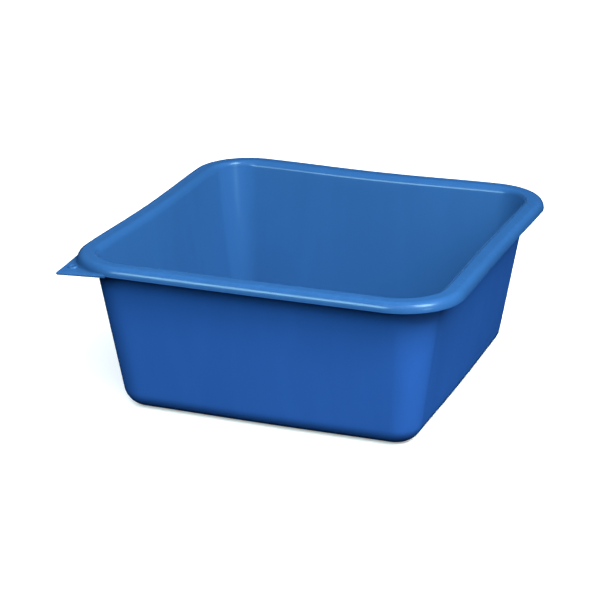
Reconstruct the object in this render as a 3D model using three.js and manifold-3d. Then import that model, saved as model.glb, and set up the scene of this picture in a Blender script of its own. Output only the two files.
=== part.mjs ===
// Square mortar mixing tub with a turned-down rim and a hanging ear at one corner.
// The tub is one thin plastic moulding. It is held here as its four regions: the base pan,
// the side walls, the rolled rim and the hanging ear. Neighbours meet on shared cut faces.
// Millimetres, +Z up, +Y to the back. The origin is the centre of the base, on the ground.
import * as THREE from 'three';
import { mergeVertices } from 'three/addons/utils/BufferGeometryUtils.js';
import Module from 'manifold-3d';

// Overall size, measured over the rim.
const RIM_HALF_WIDTH = 250;
const RIM_HALF_DEPTH = 258;
const HEIGHT = 207.6;
const RIM_CORNER_RADIUS = 78;

// Rim section, from the outer edge inwards: lip, outer roll, flat crown, large inner fillet.
const LIP_DROP = 12.4;
const LIP_THICKNESS = 3;
const ROLL_ACROSS = 9;
const ROLL_DOWN = 11.9;
const CROWN_THICKNESS = 3.4;
const CROWN_INNER_INSET = 18.8;
const CROWN_CORNER_RADIUS = 64;
const INNER_FILLET = 10;
const UNDER_RIM_FILLET = 3;

// Outer face of the side walls, level with the lip's lower edge and run out to the ground.
const WALL_INSET_AT_LIP = 25.2;
const WALL_TOP_CORNER_RADIUS = 46;
const FOOT_HALF_WIDTH = 194.6;
const FOOT_HALF_DEPTH = 201.7;
const FOOT_CORNER_RADIUS = 31.5;
const WALL_THICKNESS_AT_FOOT = 3.4;
const WALL_THICKNESS_AT_LIP = 4.1;
const INNER_TOP_CORNER_RADIUS = 44;

// Base pan.
const BASE_EDGE_RADIUS = 27;
const FLOOR_THICKNESS = 3.6;
const STANDING_RING_WIDTH = 16;
const BASE_RECESS_DEPTH = 1.6;
const RECESS_CORNER_RADIUS = 3;

// Thin walls spring a little: how far the middle of each side leaves the straight line.
const RIM_SIDES_PULL_IN = 2.6;
const FOOT_SIDES_PUSH_OUT = 1.7;
const RIM_SIDES_SAG = 1.3;

// Cuts between the regions.
const BASE_CUT_Z = 30;
const RIM_CUT_Z = 188;

// Hanging ear: a thin plate that squares off the front left corner and droops to its tip.
const EAR_THICKNESS = 3;
const EAR_TIP_RADIUS = 3;
const EAR_TIP_TOP_Z = 192.9;
const EAR_SLOPE = 0.08;
const EAR_REACH_X = 70;
const EAR_REACH_Y = 76;
const HOLE_RADIUS = 3.3;
const HOLE_FROM_TIP_X = 13.8;
const HOLE_FROM_TIP_Y = 21.7;
const HOLE_COLLAR_RADIUS = 6.2;
const HOLE_COLLAR_HEIGHT = 1.8;

// Fineness of the mesh.
const CORNER_STEPS = 9;
const SIDE_STEPS = 8;
const FILLET_STEPS = 4;
const HOLE_STEPS = 24;

const LIP_Z = HEIGHT - LIP_DROP;
const WALL_TOP_HALF_WIDTH = RIM_HALF_WIDTH - WALL_INSET_AT_LIP;
const WALL_TOP_HALF_DEPTH = RIM_HALF_DEPTH - WALL_INSET_AT_LIP;
const WALL_SLOPE = (WALL_TOP_HALF_WIDTH - FOOT_HALF_WIDTH) / LIP_Z;
const INNER_SLOPE = WALL_SLOPE - (WALL_THICKNESS_AT_LIP - WALL_THICKNESS_AT_FOOT) / LIP_Z;

const wasm = await Module();
wasm.setup();

// A level is one closed line round the tub: half sizes, corner radius, height, and how far the
// middle of each side pulls in and sags.

// Points of a level, anticlockwise from the front of the right-hand back corner.
function levelPoints(level) {
  const { halfWidth, halfDepth, radius, z, pullIn, sag } = level;
  const spanX = halfWidth - radius;
  const spanY = halfDepth - radius;
  const points = [];
  for (let quarter = 0; quarter < 4; quarter += 1) {
    const signX = quarter === 0 || quarter === 3 ? 1 : -1;
    const signY = quarter < 2 ? 1 : -1;
    for (let step = 0; step <= CORNER_STEPS; step += 1) {
      const angle = (quarter + step / CORNER_STEPS) * Math.PI / 2;
      const x = signX * spanX + radius * Math.cos(angle);
      const y = signY * spanY + radius * Math.sin(angle);
      points.push(new THREE.Vector3(x, y, z));
    }
    // The side that follows the corner runs along X after an even corner, along Y after an odd one.
    const alongX = quarter % 2 === 0;
    const span = alongX ? spanX : spanY;
    const outward = alongX ? signY : signX;
    const forward = quarter < 2 ? -1 : 1;
    for (let step = 1; step < SIDE_STEPS; step += 1) {
      const run = (2 * step / SIDE_STEPS - 1) * forward;
      const bend = (1 - run * run) ** 2;
      const across = outward * ((alongX ? halfDepth : halfWidth) - pullIn * bend);
      const along = run * span;
      points.push(new THREE.Vector3(alongX ? along : across, alongX ? across : along, z - sag * bend));
    }
  }
  return points;
}

// A level moved in by inset, with its corners kept parallel.
function shrunk(level, inset) {
  return {
    ...level,
    halfWidth: level.halfWidth - inset,
    halfDepth: level.halfDepth - inset,
    radius: level.radius - inset,
  };
}

// A level on the outer wall face at height z.
function outerWall(z) {
  const up = z / LIP_Z;
  const mix = THREE.MathUtils.lerp;
  return {
    halfWidth: mix(FOOT_HALF_WIDTH, WALL_TOP_HALF_WIDTH, up),
    halfDepth: mix(FOOT_HALF_DEPTH, WALL_TOP_HALF_DEPTH, up),
    radius: mix(FOOT_CORNER_RADIUS, WALL_TOP_CORNER_RADIUS, up),
    z,
    pullIn: mix(-FOOT_SIDES_PUSH_OUT, RIM_SIDES_PULL_IN, up),
    sag: 0,
  };
}

// A level on the inner wall face at height z. The wall grows thicker towards the rim.
function innerWall(z) {
  const up = z / LIP_Z;
  const mix = THREE.MathUtils.lerp;
  return {
    ...shrunk(outerWall(z), mix(WALL_THICKNESS_AT_FOOT, WALL_THICKNESS_AT_LIP, up)),
    radius: mix(FOOT_CORNER_RADIUS - WALL_THICKNESS_AT_FOOT, INNER_TOP_CORNER_RADIUS, up),
  };
}

// A level on the rim, inset from its outer edge. Beyond the crown its corners tighten to the wall's.
function rimLevel(inset, z) {
  const mix = THREE.MathUtils.lerp;
  const overCrown = Math.min(inset / CROWN_INNER_INSET, 1);
  const overFillet = Math.max((inset - CROWN_INNER_INSET) / INNER_FILLET, 0);
  const crownRadius = mix(RIM_CORNER_RADIUS, CROWN_CORNER_RADIUS, overCrown);
  return {
    halfWidth: RIM_HALF_WIDTH - inset,
    halfDepth: RIM_HALF_DEPTH - inset,
    radius: mix(crownRadius, INNER_TOP_CORNER_RADIUS, overFillet),
    z,
    pullIn: RIM_SIDES_PULL_IN,
    sag: RIM_SIDES_SAG,
  };
}

// Levels of the round edge between the floor and a leaning wall face, from the floor up.
function filletLevels(radius, floorZ, wallFace, slope) {
  const centreInset = radius * (Math.hypot(1, slope) - slope);
  const lastAngle = -Math.atan(slope);
  const levels = [];
  for (let step = 0; step <= FILLET_STEPS; step += 1) {
    const angle = THREE.MathUtils.lerp(-Math.PI / 2, lastAngle, step / FILLET_STEPS);
    const out = radius * Math.cos(angle) - centreInset;
    const z = floorZ + radius * (1 + Math.sin(angle));
    levels.push(shrunk(wallFace(z), slope * (z - floorZ) - out));
  }
  return levels;
}

// Joins rings of equal length into a skin. Rings run anticlockwise and from the bottom up on an
// outward face.
function skinBetween(rings, triangles, closed) {
  const last = closed ? rings.length : rings.length - 1;
  for (let row = 0; row < last; row += 1) {
    const lower = rings[row];
    const upper = rings[(row + 1) % rings.length];
    for (let i = 0; i < lower.length; i += 1) {
      const next = (i + 1) % lower.length;
      triangles.push(lower[i], lower[next], upper[next]);
      triangles.push(lower[i], upper[next], upper[i]);
    }
  }
}

// Closes a ring with a fan to its centre, facing up or down.
function capRing(ring, triangles, facesUp) {
  const centre = new THREE.Vector3(0, 0, ring[0].z);
  for (let i = 0; i < ring.length; i += 1) {
    const next = ring[(i + 1) % ring.length];
    triangles.push(centre, facesUp ? ring[i] : next, facesUp ? next : ring[i]);
  }
}

function geometryFrom(triangles) {
  const geometry = new THREE.BufferGeometry().setFromPoints(triangles);
  geometry.computeVertexNormals();
  return geometry;
}

function plasticMesh(name, geometry) {
  const material = new THREE.MeshStandardMaterial({ color: 0x27569f, roughness: 0.34, metalness: 0 });
  const mesh = new THREE.Mesh(geometry, material);
  mesh.name = name;
  return mesh;
}

// Floor with its rounded edge, a standing ring and a shallow recess under the middle.
function basePan() {
  const outside = filletLevels(BASE_EDGE_RADIUS, 0, outerWall, WALL_SLOPE);
  const recess = (inset, z) => ({ ...shrunk(outside[0], inset), radius: RECESS_CORNER_RADIUS, z });
  const insideRadius = BASE_EDGE_RADIUS - WALL_THICKNESS_AT_FOOT;
  const inside = filletLevels(insideRadius, FLOOR_THICKNESS, innerWall, INNER_SLOPE);
  const levels = [
    recess(STANDING_RING_WIDTH + 2 * BASE_RECESS_DEPTH, BASE_RECESS_DEPTH),
    recess(STANDING_RING_WIDTH, 0),
    ...outside,
    outerWall(BASE_CUT_Z),
    innerWall(BASE_CUT_Z),
    ...inside.reverse(),
  ];
  const rings = levels.map(levelPoints);
  const triangles = [];
  capRing(rings[0], triangles, false);
  skinBetween(rings, triangles, false);
  capRing(rings[rings.length - 1], triangles, true);
  return geometryFrom(triangles);
}

// Four leaning walls with round corners, as one ring between the two cuts.
function sideWalls() {
  const middleZ = (BASE_CUT_Z + RIM_CUT_Z) / 2;
  const levels = [
    outerWall(BASE_CUT_Z),
    outerWall(middleZ),
    outerWall(RIM_CUT_Z),
    innerWall(RIM_CUT_Z),
    innerWall(middleZ),
    innerWall(BASE_CUT_Z),
  ];
  const triangles = [];
  skinBetween(levels.map(levelPoints), triangles, true);
  return geometryFrom(triangles);
}

// The wall's top, the crown, the outer roll and the lip that hangs down, hollow underneath.
function rolledRim() {
  const quarter = (step) => (step / FILLET_STEPS) * Math.PI / 2;

  // Outer wall face, round the root of the crown, and out along its underside.
  const underZ = HEIGHT - CROWN_THICKNESS;
  const rootZ = underZ - UNDER_RIM_FILLET;
  const levels = [outerWall(RIM_CUT_Z), outerWall(rootZ)];
  levels.push({ ...shrunk(outerWall(rootZ), -UNDER_RIM_FILLET), z: underZ, sag: RIM_SIDES_SAG });
  for (let step = FILLET_STEPS; step >= 0; step -= 1) {
    const inset = ROLL_ACROSS - (ROLL_ACROSS - LIP_THICKNESS) * Math.cos(quarter(step));
    const z = HEIGHT - ROLL_DOWN + (ROLL_DOWN - CROWN_THICKNESS) * Math.sin(quarter(step));
    levels.push(rimLevel(inset, z));
  }

  // Lip, outer roll, crown.
  levels.push(rimLevel(LIP_THICKNESS, LIP_Z));
  levels.push(rimLevel(0, LIP_Z));
  for (let step = 0; step <= FILLET_STEPS; step += 1) {
    const inset = ROLL_ACROSS * (1 - Math.cos(quarter(step)));
    levels.push(rimLevel(inset, HEIGHT - ROLL_DOWN * (1 - Math.sin(quarter(step)))));
  }

  // Inner fillet, turning from the flat crown to the lean of the inner wall face.
  const lastAngle = Math.PI / 2 - Math.atan(INNER_SLOPE);
  for (let step = 0; step <= 2 * FILLET_STEPS; step += 1) {
    const angle = lastAngle * step / (2 * FILLET_STEPS);
    const inset = CROWN_INNER_INSET + INNER_FILLET * Math.sin(angle);
    levels.push(rimLevel(inset, HEIGHT - INNER_FILLET * (1 - Math.cos(angle))));
  }
  levels.push(innerWall(RIM_CUT_Z));
  const triangles = [];
  skinBetween(levels.map(levelPoints), triangles, true);
  return geometryFrom(triangles);
}

// A closed geometry as a manifold-3d solid, and back.
function solidFrom(geometry) {
  const bare = geometry.clone();
  bare.deleteAttribute('normal');
  bare.deleteAttribute('uv');
  const merged = mergeVertices(bare, 1e-4);
  const vertProperties = new Float32Array(merged.attributes.position.array);
  const triVerts = new Uint32Array(merged.index.array);
  return new wasm.Manifold(new wasm.Mesh({ numProp: 3, vertProperties, triVerts }));
}

function geometryOf(solid) {
  const mesh = solid.getMesh();
  const geometry = new THREE.BufferGeometry();
  geometry.setAttribute('position', new THREE.BufferAttribute(mesh.vertProperties, 3));
  geometry.setIndex(new THREE.BufferAttribute(mesh.triVerts, 1));
  geometry.computeVertexNormals();
  return geometry;
}

// An upright prism of an outline in plan, from one height to another.
function prism(shape, bottomZ, topZ) {
  const geometry = new THREE.ExtrudeGeometry(shape, {
    depth: topZ - bottomZ,
    bevelEnabled: false,
    curveSegments: HOLE_STEPS / 2,
  });
  geometry.translate(0, 0, bottomZ);
  return geometry;
}

// Shears a flat plate so that its height falls away towards the ear's tip.
function tiltToTip(geometry) {
  const position = geometry.attributes.position;
  for (let i = 0; i < position.count; i += 1) {
    const fromTip = (position.getX(i) + RIM_HALF_WIDTH + position.getY(i) + RIM_HALF_DEPTH) / Math.SQRT2;
    position.setZ(i, position.getZ(i) + EAR_TIP_TOP_Z + EAR_SLOPE * fromTip);
  }
  return geometry;
}

// Corner plate with a collared hole, cut to sit round and under the lip.
function hangingEar() {
  const left = -RIM_HALF_WIDTH;
  const front = -RIM_HALF_DEPTH;
  const plate = new THREE.Shape();
  plate.moveTo(left, front + EAR_REACH_Y);
  plate.lineTo(left, front + EAR_TIP_RADIUS);
  plate.absarc(left + EAR_TIP_RADIUS, front + EAR_TIP_RADIUS, EAR_TIP_RADIUS, Math.PI, 1.5 * Math.PI, false);
  plate.lineTo(left + EAR_REACH_X, front);
  plate.closePath();
  const holeX = left + HOLE_FROM_TIP_X;
  const holeY = front + HOLE_FROM_TIP_Y;
  const circle = (radius) => new THREE.Shape().absarc(holeX, holeY, radius, 0, 2 * Math.PI, false);

  const flat = solidFrom(tiltToTip(prism(plate, -EAR_THICKNESS, 0)));
  const collar = solidFrom(tiltToTip(prism(circle(HOLE_COLLAR_RADIUS), -EAR_THICKNESS, HOLE_COLLAR_HEIGHT)));
  const hole = solidFrom(prism(circle(HOLE_RADIUS), LIP_Z - LIP_DROP, LIP_Z + LIP_DROP));
  const planOf = (level) => new THREE.Shape(levelPoints(level).map((p) => new THREE.Vector2(p.x, p.y)));
  const insideLip = solidFrom(prism(planOf(rimLevel(LIP_THICKNESS, 0)), 0, HEIGHT));
  const aboveLipEdge = solidFrom(prism(planOf(rimLevel(0, 0)), LIP_Z, HEIGHT));
  const blank = flat.add(collar).subtract(hole);
  return geometryOf(blank.subtract(insideLip).subtract(aboveLipEdge));
}

const tub = new THREE.Group();
tub.add(plasticMesh('base_pan', basePan()));
tub.add(plasticMesh('side_walls', sideWalls()));
tub.add(plasticMesh('rolled_rim', rolledRim()));
tub.add(plasticMesh('hanging_ear', hangingEar()));

export default tub;
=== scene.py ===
import math

import bpy
import numpy as np
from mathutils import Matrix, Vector


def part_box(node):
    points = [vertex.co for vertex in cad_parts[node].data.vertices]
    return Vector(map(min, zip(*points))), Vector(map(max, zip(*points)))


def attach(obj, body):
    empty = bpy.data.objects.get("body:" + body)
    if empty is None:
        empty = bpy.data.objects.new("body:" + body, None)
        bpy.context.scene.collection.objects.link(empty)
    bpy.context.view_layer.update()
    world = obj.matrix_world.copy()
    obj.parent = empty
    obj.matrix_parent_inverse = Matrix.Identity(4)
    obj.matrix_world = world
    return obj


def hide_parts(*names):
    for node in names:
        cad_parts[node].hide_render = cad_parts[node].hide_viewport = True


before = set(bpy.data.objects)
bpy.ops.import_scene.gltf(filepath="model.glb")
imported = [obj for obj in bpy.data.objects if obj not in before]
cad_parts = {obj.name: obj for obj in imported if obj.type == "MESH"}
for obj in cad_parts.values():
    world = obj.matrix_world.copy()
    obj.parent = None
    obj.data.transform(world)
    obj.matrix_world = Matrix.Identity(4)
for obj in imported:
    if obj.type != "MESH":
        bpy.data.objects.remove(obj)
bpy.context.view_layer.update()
MM = 0.001

# ---------------------------------------------------------------- sizes
# Overall sizes and the cuts between the regions come from the frame.
rim_low, rim_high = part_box("rolled_rim")
pan_low, pan_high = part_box("base_pan")
HALF_WIDTH = rim_high.x
HALF_DEPTH = rim_high.y
HEIGHT = rim_high.z
RIM_CUT = rim_low.z
BASE_CUT = pan_high.z

# Rim section, from the outer edge inwards.
RIM_CORNER = 78 * MM
LIP_DROP = 12.4 * MM
LIP_THICK = 3 * MM
LIP_EDGE = 1.1 * MM
ROLL_ACROSS = 9 * MM
ROLL_DOWN = 11.9 * MM
CROWN_THICK = 3.4 * MM
CROWN_INNER = 18.8 * MM
CROWN_CORNER = 64 * MM
INNER_FILLET = 10 * MM
UNDER_FILLET = 3 * MM

# Walls.
WALL_INSET = 25.2 * MM
WALL_CORNER = 46 * MM
FOOT_HALF_WIDTH = 194.6 * MM
FOOT_HALF_DEPTH = 201.7 * MM
FOOT_CORNER = 31.5 * MM
THICK_AT_FOOT = 3.4 * MM
THICK_AT_LIP = 4.1 * MM
INNER_TOP_CORNER = 44 * MM

# Base.
BASE_EDGE = 27 * MM
FLOOR_THICK = 3.6 * MM
RING_WIDTH = 16 * MM
RECESS = 1.6 * MM
RECESS_CORNER = 3 * MM
GATE_RADIUS = 9 * MM
GATE_DEPTH = 0.5 * MM
GATE_MIDDLE = 2 * MM
GATE_FLAT_SHARE = 0.85

# Scuffing: how far it reaches from each edge, and how strong it is there.
LIP_WEAR_BAND = 2.2 * MM
LIP_WEAR_REACH = 8 * MM
ROLL_WEAR_DEPTH = 9 * MM
ROLL_WEAR_REACH = 14 * MM
FOOT_WEAR_HEIGHT = 7 * MM
FOOT_WEAR_REACH = 45 * MM
LIP_WEAR = 0.8
ROLL_WEAR = 0.45

# How far the thin sides spring from straight.
PULL_IN = 2.6 * MM
PUSH_OUT = 1.7 * MM
SAG = 1.3 * MM

# Hanging ear.
EAR_THICK = 3 * MM
EAR_TIP_RADIUS = 3 * MM
EAR_TIP_TOP = 192.9 * MM
EAR_SLOPE = 0.08
EAR_REACH_X = 70 * MM
EAR_REACH_Y = 76 * MM
EAR_EDGE = 1.2 * MM
EAR_TUCK = 2.4 * MM
EAR_FILLET = 2 * MM
EAR_FURTHEST = 100 * MM
HOLE_RADIUS = 3.3 * MM
HOLE_EDGE = 0.9 * MM
HOLE_FROM_TIP = Vector((13.8 * MM, 21.7 * MM))
COLLAR_RADIUS = 6.2 * MM
COLLAR_HEIGHT = 1.8 * MM
COLLAR_BLEND = 0.7 * MM
COLLAR_ZONE = 8 * MM

LIP_Z = HEIGHT - LIP_DROP
WALL_TOP_X = HALF_WIDTH - WALL_INSET
WALL_TOP_Y = HALF_DEPTH - WALL_INSET
SLOPE = (WALL_TOP_X - FOOT_HALF_WIDTH) / LIP_Z
INNER_SLOPE = SLOPE - (THICK_AT_LIP - THICK_AT_FOOT) / LIP_Z

# Mesh fineness.
CORNER_STEPS = 40
SIDE_STEPS = 36
ROUND_STEPS = 12
EAR_SPOKES = 360
SHARP_ANGLE = math.radians(38)


# ---------------------------------------------------------------- the tub's levels
def mix(a, b, t):
    return a + (b - a) * t


class Level:
    """One closed line round the tub: half sizes, corner radius, height, bend and sag of the sides."""

    def __init__(self, x, y, radius, z, pull=0.0, sag=0.0):
        self.x, self.y, self.radius, self.z, self.pull, self.sag = x, y, radius, z, pull, sag

    def shrunk(self, inset):
        return Level(self.x - inset, self.y - inset, self.radius - inset, self.z, self.pull, self.sag)

    def points(self):
        span_x, span_y = self.x - self.radius, self.y - self.radius
        rows = []
        for quarter in range(4):
            sign_x = 1 if quarter in (0, 3) else -1
            sign_y = 1 if quarter < 2 else -1
            angle = (quarter + np.linspace(0, 1, CORNER_STEPS + 1)) * math.pi / 2
            x = sign_x * span_x + self.radius * np.cos(angle)
            y = sign_y * span_y + self.radius * np.sin(angle)
            rows.append(np.column_stack([x, y, np.full(len(x), self.z)]))
            run = np.linspace(-1, 1, SIDE_STEPS + 1)[1:-1] * (-1 if quarter < 2 else 1)
            bend = (1 - run**2) ** 2
            z = self.z - self.sag * bend
            if quarter % 2 == 0:
                rows.append(np.column_stack([run * span_x, sign_y * (self.y - self.pull * bend), z]))
            else:
                rows.append(np.column_stack([sign_x * (self.x - self.pull * bend), run * span_y, z]))
        return np.concatenate(rows)


def outer_wall(z):
    """A level on the outer wall face at height z."""
    up = z / LIP_Z
    return Level(
        mix(FOOT_HALF_WIDTH, WALL_TOP_X, up),
        mix(FOOT_HALF_DEPTH, WALL_TOP_Y, up),
        mix(FOOT_CORNER, WALL_CORNER, up),
        z,
        mix(-PUSH_OUT, PULL_IN, up),
    )


def inner_wall(z):
    """A level on the inner wall face at height z."""
    up = z / LIP_Z
    level = outer_wall(z).shrunk(mix(THICK_AT_FOOT, THICK_AT_LIP, up))
    level.radius = mix(FOOT_CORNER - THICK_AT_FOOT, INNER_TOP_CORNER, up)
    return level


def rim_level(inset, z):
    """A level on the rim, inset from its outer edge. Beyond the crown its corners tighten."""
    crown_radius = mix(RIM_CORNER, CROWN_CORNER, min(inset / CROWN_INNER, 1))
    radius = mix(crown_radius, INNER_TOP_CORNER, max((inset - CROWN_INNER) / INNER_FILLET, 0))
    return Level(HALF_WIDTH - inset, HALF_DEPTH - inset, radius, z, PULL_IN, SAG)


def base_edge_levels(radius, floor_z, wall_face, slope):
    """The round edge between the floor and a leaning wall face, from the floor up."""
    centre_inset = radius * (math.hypot(1, slope) - slope)
    levels = []
    for angle in np.linspace(-math.pi / 2, -math.atan(slope), ROUND_STEPS + 1):
        out = radius * math.cos(angle) - centre_inset
        z = floor_z + radius * (1 + math.sin(angle))
        levels.append(wall_face(z).shrunk(slope * (z - floor_z) - out))
    return levels


# ---------------------------------------------------------------- mesh helpers
def grid_faces(rows, columns, closed):
    """Quads between rings of equal length, as index rows."""
    faces = []
    for row in range(rows if closed else rows - 1):
        above = (row + 1) % rows
        for i in range(columns):
            j = (i + 1) % columns
            faces.append((row * columns + i, row * columns + j, above * columns + j, above * columns + i))
    return faces


def edge_wear(points):
    """Share of scuffing at each point: the lip, the top of the roll and the lower edge catch most."""
    x, y, z = np.abs(points[:, 0]), np.abs(points[:, 1]), points[:, 2]
    from_side = np.minimum(HALF_WIDTH - x, HALF_DEPTH - y)
    lip = np.exp(-(((z - LIP_Z) / LIP_WEAR_BAND) ** 2)) * (from_side < LIP_WEAR_REACH)
    roll = np.clip((z - HEIGHT + ROLL_WEAR_DEPTH) / ROLL_WEAR_DEPTH, 0, 1) * (from_side < ROLL_WEAR_REACH)
    near_foot = np.maximum(x - FOOT_HALF_WIDTH, y - FOOT_HALF_DEPTH) > -FOOT_WEAR_REACH
    foot = np.exp(-((z / FOOT_WEAR_HEIGHT) ** 2)) * near_foot
    return np.clip(LIP_WEAR * lip + ROLL_WEAR * roll + foot, 0, 1)


def make_piece(name, points, faces, node, material, inside):
    """A mesh piece. inside is 1 at the points of the rim and the tub's inside, which take the darker
    painted-shade blue, and 0 below the rim outside.
    """
    mesh = bpy.data.meshes.new(name)
    mesh.from_pydata([tuple(p) for p in points], [], faces)
    mesh.validate()
    mesh.polygons.foreach_set("use_smooth", [True] * len(mesh.polygons))
    mesh.set_sharp_from_angle(angle=SHARP_ANGLE)
    mesh.update()
    for label, values in (("edge_wear", edge_wear(np.asarray(points))), ("inside", inside)):
        layer = mesh.attributes.new(label, "FLOAT", "POINT")
        layer.data.foreach_set("value", np.asarray(values, dtype=np.float32))
    piece = bpy.data.objects.new(name, mesh)
    bpy.context.scene.collection.objects.link(piece)
    piece.data.materials.append(material)
    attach(piece, "root")
    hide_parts(node)
    return piece


def spread_inwards(ring, z, shares):
    """Rings between a given ring and the middle of the floor, all at one height."""
    return [np.column_stack([ring[:, :2] * share, np.full(len(ring), z)]) for share in shares]


def round_ring(like, radius, z):
    """A circle about the middle, with its points on the same bearings as another ring."""
    bearing = np.arctan2(like[:, 1], like[:, 0])
    return np.column_stack([radius * np.cos(bearing), radius * np.sin(bearing), np.full(len(like), z)])


# ---------------------------------------------------------------- material
class Nodes:
    """Short names for building a node tree."""

    def __init__(self, tree):
        self.tree = tree

    def add(self, kind, **settings):
        node = self.tree.nodes.new(kind)
        for key, value in settings.items():
            setattr(node, key, value)
        return node

    def link(self, source, target):
        self.tree.links.new(source, target)

    def noise(self, place, scale, detail, rough=0.5):
        node = self.add("ShaderNodeTexNoise")
        self.link(place, node.inputs["Vector"])
        node.inputs["Scale"].default_value = scale
        node.inputs["Detail"].default_value = detail
        node.inputs["Roughness"].default_value = rough
        return node.outputs["Fac"]

    def spread(self, place, stretch):
        node = self.add("ShaderNodeMapping")
        self.link(place, node.inputs["Vector"])
        node.inputs["Scale"].default_value = stretch
        return node.outputs["Vector"]

    def ramp(self, value, low, high, out_low, out_high):
        node = self.add("ShaderNodeMapRange")
        self.link(value, node.inputs["Value"])
        node.inputs["From Min"].default_value = low
        node.inputs["From Max"].default_value = high
        node.inputs["To Min"].default_value = out_low
        node.inputs["To Max"].default_value = out_high
        return node.outputs["Result"]

    def times(self, a, b):
        node = self.add("ShaderNodeMath", operation="MULTIPLY")
        self.link(a, node.inputs[0])
        self.link(b, node.inputs[1])
        return node.outputs[0]

    def plus(self, a, b):
        node = self.add("ShaderNodeMath", operation="ADD")
        self.link(a, node.inputs[0])
        self.link(b, node.inputs[1])
        return node.outputs[0]

    def shade(self, colour, value):
        """A colour made lighter or darker by a factor."""
        node = self.add("ShaderNodeHueSaturation")
        self.link(colour, node.inputs["Color"])
        self.link(value, node.inputs["Value"])
        return node.outputs["Color"]

    def blend(self, share, first, second):
        """Colour blend; first and second are colours or sockets."""
        node = self.add("ShaderNodeMix", data_type="RGBA")
        self.link(share, node.inputs["Factor"])
        for key, value in (("A", first), ("B", second)):
            socket = [s for s in node.inputs if s.name == key and s.type == "RGBA"][0]
            if isinstance(value, tuple):
                socket.default_value = value
            else:
                self.link(value, socket)
        return [s for s in node.outputs if s.type == "RGBA"][0]


# The real plastic is one colour. The darker inside blue is painted shade: it makes up for how the tub is lit.
BLUE_OUTSIDE = (0.0255, 0.108, 0.408, 1)
SHADED_BLUE_INSIDE = (0.0195, 0.078, 0.218, 1)
BLUE_SCUFF = (0.045, 0.155, 0.430, 1)

# Fineness of each noise, and how far two of them are drawn out upwards.
MOTTLE_SCALE = 5.5
FLOW_SCALE = 42
FLOW_STRETCH = (1, 1, 0.12)
GRAIN_SCALE = 900
DUST_SCALE = 160
SMEAR_SCALE = 26
SMEAR_STRETCH = (1, 1, 0.4)

# The stretch of each noise that is used, then what it is spread over.
MIDDLE = (0.35, 0.65)
WIDE_MIDDLE = (0.3, 0.7)
UPPER = (0.45, 0.75)
MOTTLE_TONE = (0.97, 1.02)
FLOW_TONE = (-0.01, 0.035)
SCUFF_SHARE = (0, 0.3)
SMEAR_ROUGHNESS = (0.19, 0.25)
MOTTLE_ROUGHNESS = (-0.01, 0.01)
SCUFF_ROUGHNESS = (0, 0.14)
GRAIN_RELIEF = (0, 0.02)
MOTTLE_RELIEF = (0, 1.0)
FLOW_RELIEF = (0, 0.5)
BUMP_STRENGTH = 0.16
BUMP_DISTANCE = 0.6 * MM


def tub_plastic():
    """Injection-moulded plastic: soft mottling, flow lines, fine grain, dull scuffs on the edges."""
    material = bpy.data.materials.new("tub_plastic")
    material.use_nodes = True
    n = Nodes(material.node_tree)
    shader = material.node_tree.nodes["Principled BSDF"]
    place = n.add("ShaderNodeTexCoord").outputs["Object"]
    edge = n.add("ShaderNodeAttribute", attribute_name="edge_wear").outputs["Fac"]
    inside = n.add("ShaderNodeAttribute", attribute_name="inside").outputs["Fac"]

    mottle = n.noise(place, MOTTLE_SCALE, 3)
    flow = n.noise(n.spread(place, FLOW_STRETCH), FLOW_SCALE, 4)
    grain = n.noise(place, GRAIN_SCALE, 2)
    dust = n.noise(place, DUST_SCALE, 5, 0.65)
    smear = n.noise(n.spread(place, SMEAR_STRETCH), SMEAR_SCALE, 2)

    # Colour.
    tone = n.plus(n.ramp(mottle, *MIDDLE, *MOTTLE_TONE), n.ramp(flow, *UPPER, *FLOW_TONE))
    # Painted shade: the rim and the inside blend to a darker copy of the same blue.
    colour = n.shade(n.blend(inside, BLUE_OUTSIDE, SHADED_BLUE_INSIDE), tone)
    worn = n.times(edge, n.ramp(dust, *UPPER, *SCUFF_SHARE))
    colour = n.blend(worn, colour, BLUE_SCUFF)
    n.link(colour, shader.inputs["Base Color"])

    # Gloss.
    rough = n.plus(n.ramp(smear, *WIDE_MIDDLE, *SMEAR_ROUGHNESS), n.ramp(mottle, *MIDDLE, *MOTTLE_ROUGHNESS))
    n.link(n.plus(rough, n.ramp(worn, 0, 1, *SCUFF_ROUGHNESS)), shader.inputs["Roughness"])
    shader.inputs["Specular IOR Level"].default_value = 0.5

    # Relief.
    relief = n.plus(n.ramp(grain, 0, 1, *GRAIN_RELIEF), n.ramp(mottle, 0, 1, *MOTTLE_RELIEF))
    relief = n.plus(relief, n.ramp(flow, 0, 1, *FLOW_RELIEF))
    bump = n.add("ShaderNodeBump")
    bump.inputs["Strength"].default_value = BUMP_STRENGTH
    bump.inputs["Distance"].default_value = BUMP_DISTANCE
    n.link(relief, bump.inputs["Height"])
    n.link(bump.outputs["Normal"], shader.inputs["Normal"])
    return material


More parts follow.
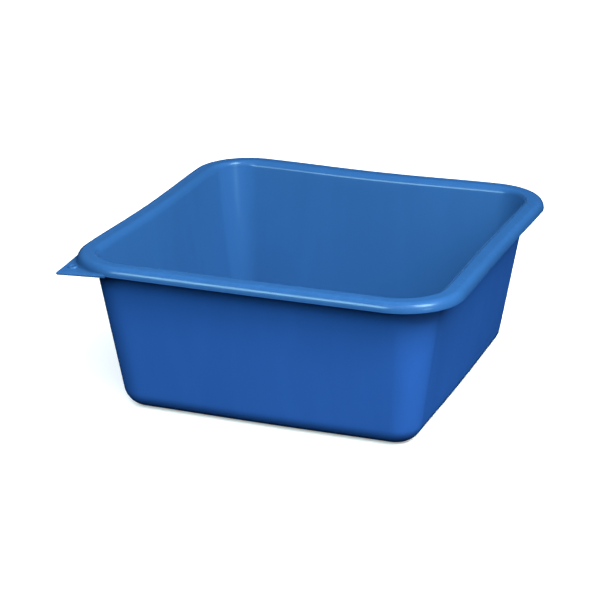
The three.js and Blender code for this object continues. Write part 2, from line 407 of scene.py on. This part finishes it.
# ---------------------------------------------------------------- pieces
def base_pan(material):
    outside = base_edge_levels(BASE_EDGE, 0, outer_wall, SLOPE)
    inside = base_edge_levels(BASE_EDGE - THICK_AT_FOOT, FLOOR_THICK, inner_wall, INNER_SLOPE)

    def recess(inset, z):
        level = outside[0].shrunk(inset)
        level.radius, level.z = RECESS_CORNER, z
        return level.points()

    # From the middle of the underside outwards.
    top = recess(RING_WIDTH + 2 * RECESS, RECESS)
    gate_top = RECESS + GATE_DEPTH
    rings = [round_ring(top, GATE_MIDDLE, gate_top), round_ring(top, GATE_FLAT_SHARE * GATE_RADIUS, gate_top)]
    rings += [round_ring(top, GATE_RADIUS, RECESS), round_ring(top, 2 * GATE_RADIUS, RECESS)]
    rings += spread_inwards(top, RECESS, (0.2, 0.4, 0.6, 0.8, 0.92, 0.97))
    rings.append(top)
    for t in np.linspace(0, 1, 7)[1:-1]:
        ease = (1 - math.cos(math.pi * t)) / 2
        rings.append(recess(RING_WIDTH + 2 * RECESS * (1 - t), RECESS * (1 - ease)))
    rings += [recess(RING_WIDTH, 0), recess(RING_WIDTH - 1 * MM, 0)]
    rings += [level.points() for level in outside]
    rings += [outer_wall(mix(outside[-1].z, BASE_CUT, t)).points() for t in (0.5, 1)]
    outer_rings = len(rings)
    rings += [inner_wall(mix(inside[-1].z, BASE_CUT, t)).points() for t in (1, 0.5)]
    rings += [level.points() for level in inside[::-1]]
    floor = rings[-1]
    rings += spread_inwards(floor, FLOOR_THICK, (0.97, 0.92, 0.84, 0.7, 0.55, 0.4, 0.25, 0.1))

    count = len(rings[0])
    points = np.concatenate(rings)
    faces = grid_faces(len(rings), count, False)
    low_centre, high_centre = len(points), len(points) + 1
    points = np.vstack([points, [0, 0, gate_top], [0, 0, FLOOR_THICK]])
    last = (len(rings) - 1) * count
    faces += [(low_centre, (i + 1) % count, i) for i in range(count)]
    faces += [(high_centre, last + i, last + (i + 1) % count) for i in range(count)]
    painted_shade_share = np.repeat(np.arange(len(rings)) >= outer_rings, count)
    painted_shade_share = np.append(painted_shade_share, [0, 1])
    return make_piece("base_pan_moulding", points, faces, "base_pan", material, painted_shade_share)


def side_walls(material):
    heights = np.linspace(BASE_CUT, RIM_CUT, 30)
    levels = [outer_wall(z) for z in heights] + [inner_wall(z) for z in heights[::-1]]
    rings = [level.points() for level in levels]
    faces = grid_faces(len(rings), len(rings[0]), True)
    points = np.concatenate(rings)
    painted_shade_share = np.repeat(np.arange(len(rings)) >= len(heights), len(rings[0]))
    return make_piece("side_walls_moulding", points, faces, "side_walls", material, painted_shade_share)


def rolled_rim(material):
    quarter = np.linspace(0, math.pi / 2, ROUND_STEPS + 1)

    # Outer wall face, round the root of the crown, out along its underside.
    under_z = HEIGHT - CROWN_THICK
    root_z = under_z - UNDER_FILLET
    root = outer_wall(root_z)
    roll_corner = mix(RIM_CORNER, CROWN_CORNER, ROLL_ACROSS / CROWN_INNER)
    levels = [outer_wall(z) for z in np.linspace(RIM_CUT, root_z, 4)]
    for a in quarter[2::2]:
        level = root.shrunk(-UNDER_FILLET * (1 - math.cos(a)))
        level.z, level.sag = mix(root_z, under_z, math.sin(a)), SAG * math.sin(a)
        levels.append(level)
    for t in (0.25, 0.5, 0.75):
        level = rim_level(mix(WALL_INSET - UNDER_FILLET, ROLL_ACROSS, t), under_z)
        level.radius = mix(WALL_CORNER + UNDER_FILLET, roll_corner, t)
        levels.append(level)
    for a in quarter[::-1]:
        inset = ROLL_ACROSS - (ROLL_ACROSS - LIP_THICK) * math.cos(a)
        levels.append(rim_level(inset, HEIGHT - ROLL_DOWN + (ROLL_DOWN - CROWN_THICK) * math.sin(a)))

    # Lip with its eased edge, then the outer roll.
    for a in quarter[::3]:
        eased = LIP_EDGE * (1 - math.cos(a))
        levels.append(rim_level(LIP_THICK - eased, LIP_Z + LIP_EDGE * (1 - math.sin(a))))
    for a in quarter[::-3]:
        levels.append(rim_level(LIP_EDGE * (1 - math.cos(a)), LIP_Z + LIP_EDGE * (1 - math.sin(a))))
    # From the roll inwards the rim takes the darker painted-shade blue of the inside.
    shares = [0] * len(levels)
    for a in quarter:
        levels.append(rim_level(ROLL_ACROSS * (1 - math.cos(a)), HEIGHT - ROLL_DOWN * (1 - math.sin(a))))

    # Crown, inner fillet, inner wall face.
    for inset in np.linspace(ROLL_ACROSS, CROWN_INNER, 8)[1:-1]:
        levels.append(rim_level(inset, HEIGHT))
    last_angle = math.pi / 2 - math.atan(INNER_SLOPE)
    for angle in np.linspace(0, last_angle, 2 * ROUND_STEPS + 1):
        inset = CROWN_INNER + INNER_FILLET * math.sin(angle)
        levels.append(rim_level(inset, HEIGHT - INNER_FILLET * (1 - math.cos(angle))))
    fillet_end = levels[-1].z
    for z in np.linspace(fillet_end, RIM_CUT, 6)[1:]:
        level = inner_wall(z)
        level.sag = SAG * (z - RIM_CUT) / (fillet_end - RIM_CUT)
        levels.append(level)
    rings = [level.points() for level in levels]
    faces = grid_faces(len(rings), len(rings[0]), True)
    shares += [1] * (len(levels) - len(shares))
    painted_shade_share = np.repeat(shares, len(rings[0]))
    points = np.concatenate(rings)
    return make_piece("rolled_rim_moulding", points, faces, "rolled_rim", material, painted_shade_share)


def ear_reach(hole, spoke):
    """How far the ear runs from the hole along one bearing, to its outline or to the rim."""
    left, front = -HALF_WIDTH, -HALF_DEPTH
    middle = Vector((left + RIM_CORNER, front + RIM_CORNER))
    tuck = RIM_CORNER - EAR_TUCK
    step = 0.1 * MM
    reach = HOLE_RADIUS
    while reach < EAR_FURTHEST:
        point = hole + spoke * reach
        turned = Vector((point.x - left - EAR_TIP_RADIUS, point.y - front - EAR_TIP_RADIUS))
        off_tip = turned.x < 0 and turned.y < 0 and turned.length > EAR_TIP_RADIUS
        off_side = point.x < left or point.y < front
        off_end = point.x > left + EAR_REACH_X or point.y > front + EAR_REACH_Y
        if off_tip or off_side or off_end or (point - middle).length < tuck:
            break
        reach += step
    return reach - step


def ear_top(x, y, hole):
    """Height of the ear's upper face."""
    left, front = -HALF_WIDTH, -HALF_DEPTH
    from_tip = (x - left + y - front) / math.sqrt(2)
    from_hole = math.hypot(x - hole.x, y - hole.y)
    from_lip = math.hypot(x - left - RIM_CORNER, y - front - RIM_CORNER) - RIM_CORNER
    rise = min(max((COLLAR_RADIUS + COLLAR_BLEND - from_hole) / (2 * COLLAR_BLEND), 0), 1)
    collar = COLLAR_HEIGHT * rise * rise * (3 - 2 * rise)
    closeness = min(max(1 - from_lip / EAR_FILLET, 0), 1)
    fillet = EAR_FILLET * (1 - math.sqrt(1 - closeness**2))
    return EAR_TIP_TOP + EAR_SLOPE * from_tip + collar + fillet


def hanging_ear(material):
    hole = Vector((-HALF_WIDTH + HOLE_FROM_TIP.x, -HALF_DEPTH + HOLE_FROM_TIP.y))
    round_off = np.linspace(0, math.pi / 2, 5)
    columns = []
    for bearing in np.linspace(0, 2 * math.pi, EAR_SPOKES, endpoint=False):
        spoke = Vector((math.cos(bearing), math.sin(bearing)))
        reach = ear_reach(hole, spoke)
        near, far = HOLE_RADIUS + HOLE_EDGE, reach - EAR_EDGE
        # Pairs of distance from the hole and depth below the face: underside, edge, upper face, hole.
        below = [
            (HOLE_RADIUS + HOLE_EDGE * (1 - math.cos(a)), HOLE_EDGE * (1 - math.sin(a)))
            for a in round_off
        ]
        below += [(r, 0) for r in np.linspace(near, far, 12)[1:-1]]
        below += [(far + EAR_EDGE * math.sin(a), EAR_EDGE * (1 - math.cos(a))) for a in round_off]
        above = [(far + EAR_EDGE * math.cos(a), EAR_EDGE * (1 - math.sin(a))) for a in round_off]
        above += [(mix(far, COLLAR_ZONE, t), 0) for t in np.linspace(0, 1, 24)[1:]]
        above += [(mix(COLLAR_ZONE, near, t), 0) for t in np.linspace(0, 1, 16)[1:-1]]
        above += [
            (HOLE_RADIUS + HOLE_EDGE * (1 - math.sin(a)), HOLE_EDGE * (1 - math.cos(a)))
            for a in round_off
        ]
        column = []
        for distance, depth in below:
            x, y = hole + spoke * distance
            from_tip = (x + HALF_WIDTH + y + HALF_DEPTH) / math.sqrt(2)
            column.append((x, y, EAR_TIP_TOP + EAR_SLOPE * from_tip - EAR_THICK + depth))
        for distance, depth in above:
            x, y = hole + spoke * distance
            column.append((x, y, ear_top(x, y, hole) - depth))
        columns.append(column)
    rings = np.array(columns).transpose(1, 0, 2)
    faces = grid_faces(len(rings), EAR_SPOKES, True)
    points = rings.reshape(-1, 3)
    return make_piece("hanging_ear_moulding", points, faces, "hanging_ear", material, np.ones(len(points)))


# ---------------------------------------------------------------- stage
HIGH_GLOW = 0.06
LOW_GLOW = 0.02
COOL_WHITE = (0.52, 0.95, 1.0)
LIGHT_AIM = Vector((0, 0, 0.12))
FLOOR_HALF = 8
FLOOR_DROP = 0.2 * MM

# The view: azimuth and elevation in degrees, the rest in metres, and the lens in millimetres.
VIEW_AZIMUTH = 20.6
VIEW_ELEVATION = 20.05
VIEW_DISTANCE = 2.837
VIEW_AIM = Vector((-0.020, -0.0155, 0.1039))
VIEW_LENS = 130.5


def bearing_from(azimuth, elevation):
    """The way from the tub towards a light or the camera. Azimuth 0 is straight in front."""
    turn, lift = math.radians(azimuth), math.radians(elevation)
    return Vector((math.sin(turn) * math.cos(lift), -math.cos(turn) * math.cos(lift), math.sin(lift)))


def softbox(name, azimuth, elevation, distance, width, height, radiance, tint=(1, 1, 1), mirrored=True):
    """A rectangular light facing the tub. Azimuth 0 is straight in front, positive to the right."""
    way = bearing_from(azimuth, elevation)
    data = bpy.data.lights.new(name, "AREA")
    data.shape = "RECTANGLE"
    data.size, data.size_y = width, height
    data.energy = radiance * math.pi * width * height
    data.color = tint
    light = bpy.data.objects.new(name, data)
    light.location = LIGHT_AIM + way * distance
    light.rotation_euler = (-way).to_track_quat("-Z", "Y").to_euler()
    light.visible_glossy = mirrored
    bpy.context.scene.collection.objects.link(light)


def camera():
    back = bearing_from(VIEW_AZIMUTH, VIEW_ELEVATION)
    data = bpy.data.cameras.new("camera")
    data.sensor_width = 36
    data.lens = VIEW_LENS
    eye = bpy.data.objects.new("camera", data)
    eye.location = VIEW_AIM + back * VIEW_DISTANCE
    eye.rotation_euler = (-back).to_track_quat("-Z", "Y").to_euler()
    bpy.context.scene.collection.objects.link(eye)
    bpy.context.scene.camera = eye


def pale_floor():
    mesh = bpy.data.meshes.new("studio_floor")
    corners = [(FLOOR_HALF * x, FLOOR_HALF * y, 0) for x, y in ((-1, -1), (1, -1), (1, 1), (-1, 1))]
    mesh.from_pydata(corners, [], [(0, 1, 2, 3)])
    floor = bpy.data.objects.new("studio_floor", mesh)
    # A hair below the ground plane, so that it shares no face with the standing ring.
    floor.location.z = -FLOOR_DROP
    bpy.context.scene.collection.objects.link(floor)
    material = bpy.data.materials.new("pale_floor")
    material.use_nodes = True
    shader = material.node_tree.nodes["Principled BSDF"]
    shader.inputs["Base Color"].default_value = (0.88, 0.88, 0.88, 1)
    shader.inputs["Roughness"].default_value = 0.9
    shader.inputs["Specular IOR Level"].default_value = 0.1
    shader.inputs["Emission Color"].default_value = (1, 1, 1, 1)
    shader.inputs["Emission Strength"].default_value = 0.3
    floor.data.materials.append(material)
    # The floor throws no glow back onto the tub, so its walls keep their depth of colour.
    floor.visible_diffuse = False
    floor.visible_glossy = False


def studio_world():
    """A faint white glow, a little stronger from above, that casts no reflection."""
    world = bpy.data.worlds.new("studio")
    bpy.context.scene.world = world
    world.use_nodes = True
    world.cycles_visibility.glossy = False
    background = world.node_tree.nodes["Background"]
    background.inputs["Color"].default_value = (1, 1, 1, 1)
    n = Nodes(world.node_tree)
    height = n.add("ShaderNodeSeparateXYZ")
    n.link(n.add("ShaderNodeTexCoord").outputs["Generated"], height.inputs["Vector"])
    glow = n.ramp(height.outputs["Z"], -0.1, 0.2, LOW_GLOW, HIGH_GLOW)
    n.link(glow, background.inputs["Strength"])


def softboxes():
    """Wide keys that only light the tub, then three smaller lights that also show as highlights."""
    softbox("side_key", 75, 50, 3.0, 2.0, 2.0, 9.8, mirrored=False)
    softbox("front_key", 5, 48, 3.0, 2.0, 1.6, 7.4, mirrored=False)
    softbox("low_key", 56, 27, 3.0, 2.6, 1.2, 2.9, mirrored=False)
    softbox("back_left", -135, 18, 3.0, 2.6, 1.4, 5.5, mirrored=False)
    softbox("side_spot", 67, 49, 3.0, 1.05, 1.1, 16.0, COOL_WHITE)
    softbox("front_left", -17, 27, 2.6, 1.05, 0.7, 10.5, COOL_WHITE)
    softbox("low_spot", 60, 12, 2.6, 0.55, 0.45, 5.5, COOL_WHITE)


bpy.context.scene.view_settings.view_transform = "Standard"
plastic = tub_plastic()
base_pan(plastic)
side_walls(plastic)
rolled_rim(plastic)
hanging_ear(plastic)
camera()
pale_floor()
studio_world()
softboxes()
